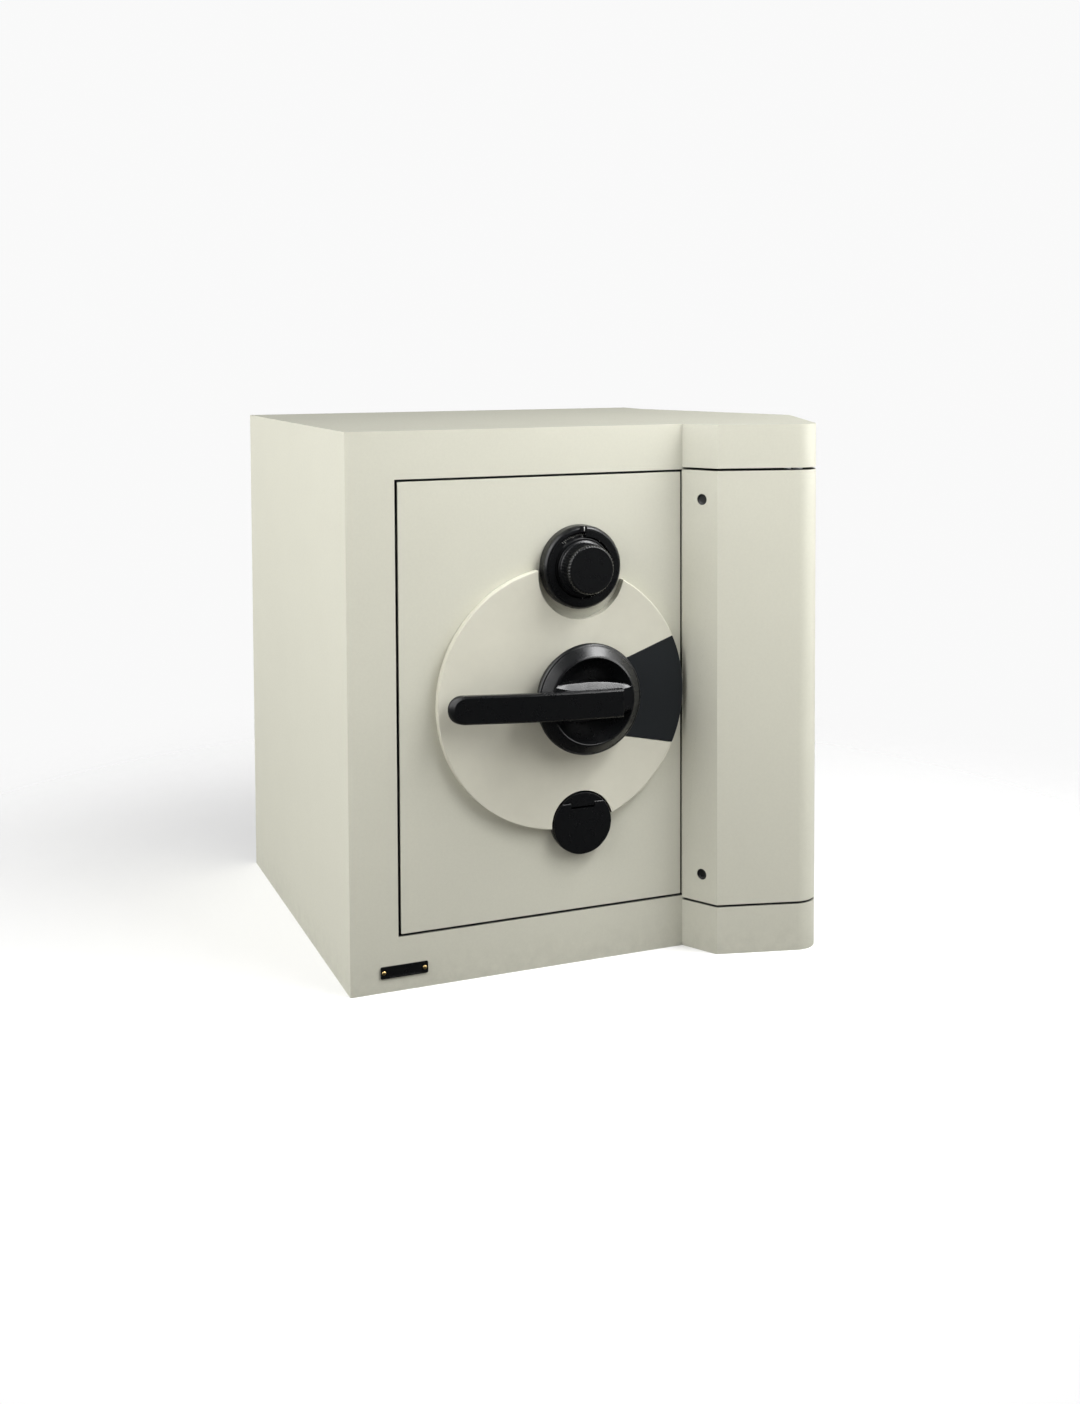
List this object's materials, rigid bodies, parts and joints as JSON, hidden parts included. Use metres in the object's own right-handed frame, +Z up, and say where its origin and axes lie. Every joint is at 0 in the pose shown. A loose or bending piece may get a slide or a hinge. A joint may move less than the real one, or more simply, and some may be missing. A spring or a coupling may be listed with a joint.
{
  "type": "security safe",
  "caption": "Free-standing filled steel safe with a thick hinged door, combination dial, lever handle that throws the bolts, covered key lock and an inner shelf.",
  "frame": {"origin": "centre of the rectangular body's base, on the floor", "axes": "+Z up; +Y to the back of the safe, the door faces -Y; +X to the hinge side"},
  "size_m": [0.653, 0.5724, 0.63],
  "materials": {
    "cream_paint": "satin powder coat",
    "ivory_plastic": "matt",
    "slate_plastic": "satin",
    "black_plastic": "satin",
    "concrete_fill": "rough",
    "grey_paint": "satin",
    "bright_steel": "machined",
    "plain_steel": "rolled",
    "hard_steel": "machined",
    "brass": "satin",
    "seal_rubber": "matt"
  },
  "bodies": {
    "safe_body": {"outer_casing": "cream_paint", "barrier_fill": "concrete_fill", "door_frame": "grey_paint", "door_seal": "seal_rubber", "inner_liner": "grey_paint", "shelf": "grey_paint", "shelf_rail_left": "bright_steel", "shelf_rail_right": "bright_steel", "anchor_plug": "black_plastic", "serial_plate": "black_plastic", "plate_rivet_left": "brass", "plate_rivet_right": "brass", "hinge_boss_bottom": "hard_steel", "hinge_boss_top": "hard_steel", "hinge_pin_bottom": "bright_steel", "hinge_pin_top": "bright_steel", "hinge_ball": "bright_steel"},
    "door": {"door_front_plate": "cream_paint", "door_slab": "concrete_fill", "hard_plate": "hard_steel", "door_pan": "grey_paint", "back_cover": "grey_paint", "hinge_dead_bar": "bright_steel", "hinge_column": "cream_paint", "column_plug_top": "black_plastic", "column_plug_bottom": "black_plastic", "column_tube": "hard_steel", "column_fill": "concrete_fill", "hinge_bush_bottom": "brass", "hinge_bush_top": "brass", "trim_disc": "ivory_plastic", "trim_sector": "slate_plastic", "dial_ring": "black_plastic", "combination_lock_case": "bright_steel", "combination_lock_cover": "bright_steel", "key_escutcheon": "black_plastic", "key_cover_pin": "bright_steel", "key_lock_case": "bright_steel", "key_lock_cover": "bright_steel"},
    "handle": {"handle_hub": "black_plastic", "handle_lever": "black_plastic", "handle_spindle": "bright_steel", "drive_pinion": "hard_steel"},
    "boltwork": {"bolt_carriage": "plain_steel", "bolt_upper": "bright_steel", "bolt_middle": "bright_steel", "bolt_lower": "bright_steel"},
    "top_bolt": {"top_bolt_bar": "plain_steel"},
    "bottom_bolt": {"bottom_bolt_bar": "plain_steel"},
    "dial": {"dial_flange": "black_plastic", "dial_knob": "black_plastic", "dial_spindle": "bright_steel", "drive_cam": "brass"},
    "code_wheel_1": {"code_wheel_1": "brass"},
    "code_wheel_2": {"code_wheel_2": "brass"},
    "code_wheel_3": {"code_wheel_3": "brass"},
    "combination_bolt": {"combination_lock_bolt": "brass"},
    "key_cover": {"key_cover_flap": "black_plastic"},
    "key_drum": {"key_drum": "brass"},
    "key_bolt": {"key_lock_bolt": "brass"}
  },
  "joints": [
    {"name": "door_hinge", "type": "hinge", "parent": "safe_body", "child": "door", "pos_m": [0.2538, -0.2935, 0.318], "axis": [0, 0, 1], "range_deg": [0, 180]},
    {"name": "handle_turn", "type": "hinge", "parent": "door", "child": "handle", "pos_m": [-0.008, -0.252, 0.318], "axis": [0, -1, 0], "range_deg": [0, 60]},
    {"name": "boltwork_slide", "type": "slide", "parent": "door", "child": "boltwork", "axis": [-1, 0, 0], "range_m": [0, 0.0252]},
    {"name": "top_bolt_slide", "type": "slide", "parent": "door", "child": "top_bolt", "axis": [0, 0, 1], "range_m": [0, 0.0252]},
    {"name": "bottom_bolt_slide", "type": "slide", "parent": "door", "child": "bottom_bolt", "axis": [0, 0, -1], "range_m": [0, 0.0252]},
    {"name": "dial_turn", "type": "hinge", "parent": "door", "child": "dial", "pos_m": [-0.008, -0.252, 0.468], "axis": [0, -1, 0], "continuous": true},
    {"name": "code_wheel_1_turn", "type": "hinge", "parent": "door", "child": "code_wheel_1", "pos_m": [-0.008, -0.2077, 0.468], "axis": [0, -1, 0], "continuous": true},
    {"name": "code_wheel_2_turn", "type": "hinge", "parent": "door", "child": "code_wheel_2", "pos_m": [-0.008, -0.2034, 0.468], "axis": [0, -1, 0], "continuous": true},
    {"name": "code_wheel_3_turn", "type": "hinge", "parent": "door", "child": "code_wheel_3", "pos_m": [-0.008, -0.1991, 0.468], "axis": [0, -1, 0], "continuous": true},
    {"name": "combination_bolt_slide", "type": "slide", "parent": "door", "child": "combination_bolt", "axis": [0, 0, -1], "range_m": [0, 0.01]},
    {"name": "key_cover_swing", "type": "hinge", "parent": "door", "child": "key_cover", "pos_m": [-0.008, -0.2624, 0.1914], "axis": [-1, 0, 0], "range_deg": [0, 95]},
    {"name": "key_turn", "type": "hinge", "parent": "door", "child": "key_drum", "pos_m": [-0.008, -0.252, 0.168], "axis": [0, -1, 0], "range_deg": [0, 180]},
    {"name": "key_bolt_slide", "type": "slide", "parent": "door", "child": "key_bolt", "axis": [0, 0, 1], "range_m": [0, 0.0101]}
  ],
  "couplings": [
    {"joint": "boltwork_slide", "follows": "handle_turn", "m_per_rad": 0.024},
    {"joint": "top_bolt_slide", "follows": "handle_turn", "m_per_rad": 0.024},
    {"joint": "bottom_bolt_slide", "follows": "handle_turn", "m_per_rad": 0.024},
    {"joint": "key_bolt_slide", "follows": "key_turn", "m_per_rad": 0.0031831}
  ]
}
